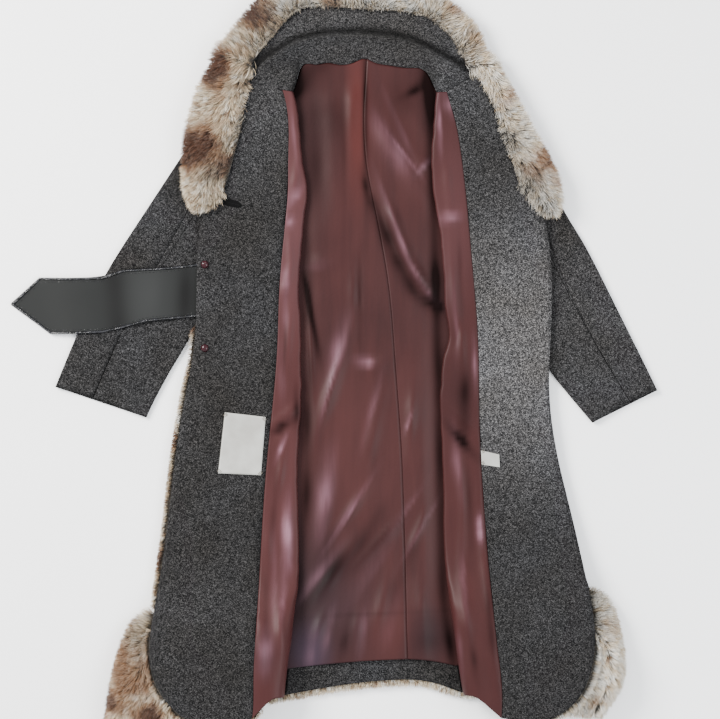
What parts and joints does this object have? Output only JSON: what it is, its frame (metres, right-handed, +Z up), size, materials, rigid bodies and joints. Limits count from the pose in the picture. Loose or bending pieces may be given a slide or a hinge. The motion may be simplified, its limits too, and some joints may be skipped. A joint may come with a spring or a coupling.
{
  "type": "fur-trimmed coat laid open",
  "caption": "Women's knee-length charcoal wool coat with fur collar and fur hem, laid on its back with both fronts folded open to show a rose satin lining.",
  "frame": {"origin": "on the floor under the middle of the laid-out coat", "axes": "+Y towards the collar, +X towards the wearer's left sleeve, +Z up from the floor"},
  "size_m": [0.9688, 1.1586, 0.0552],
  "materials": {
    "wool": "charcoal flecked wool, brushed",
    "satin_lining": "rose-brown satin, soft sheen",
    "fur": "long cream fur with tan patches",
    "belt_backing": "matt backing with glossy black edges",
    "label": "ivory satin, bare",
    "garnet": "dark red, polished"
  },
  "bodies": {
    "root": {"back": "wool", "back_hem": "wool", "back_neck_facing": "wool", "collar_backing": "wool", "collar_fur_back": "fur", "fur_hem_back": "fur", "fur_edge_right": "fur", "front_right": "wool", "front_lining_right": "satin_lining", "facing_right": "wool", "back_lining_right": "satin_lining", "topsleeve_right": "wool", "undersleeve_right": "wool", "collar_fur_right": "fur", "fur_hem_side_right": "fur", "fur_flap_right": "fur", "front_left": "wool", "front_lining_left": "satin_lining", "facing_left": "wool", "back_lining_left": "satin_lining", "topsleeve_left": "wool", "undersleeve_left": "wool", "collar_fur_left": "fur", "fur_hem_side_left": "fur", "fur_flap_left": "fur", "belt_right": "belt_backing", "label": "label", "tab": "label", "fastener_upper": "garnet", "fastener_lower": "garnet"}
  },
  "joints": []
}
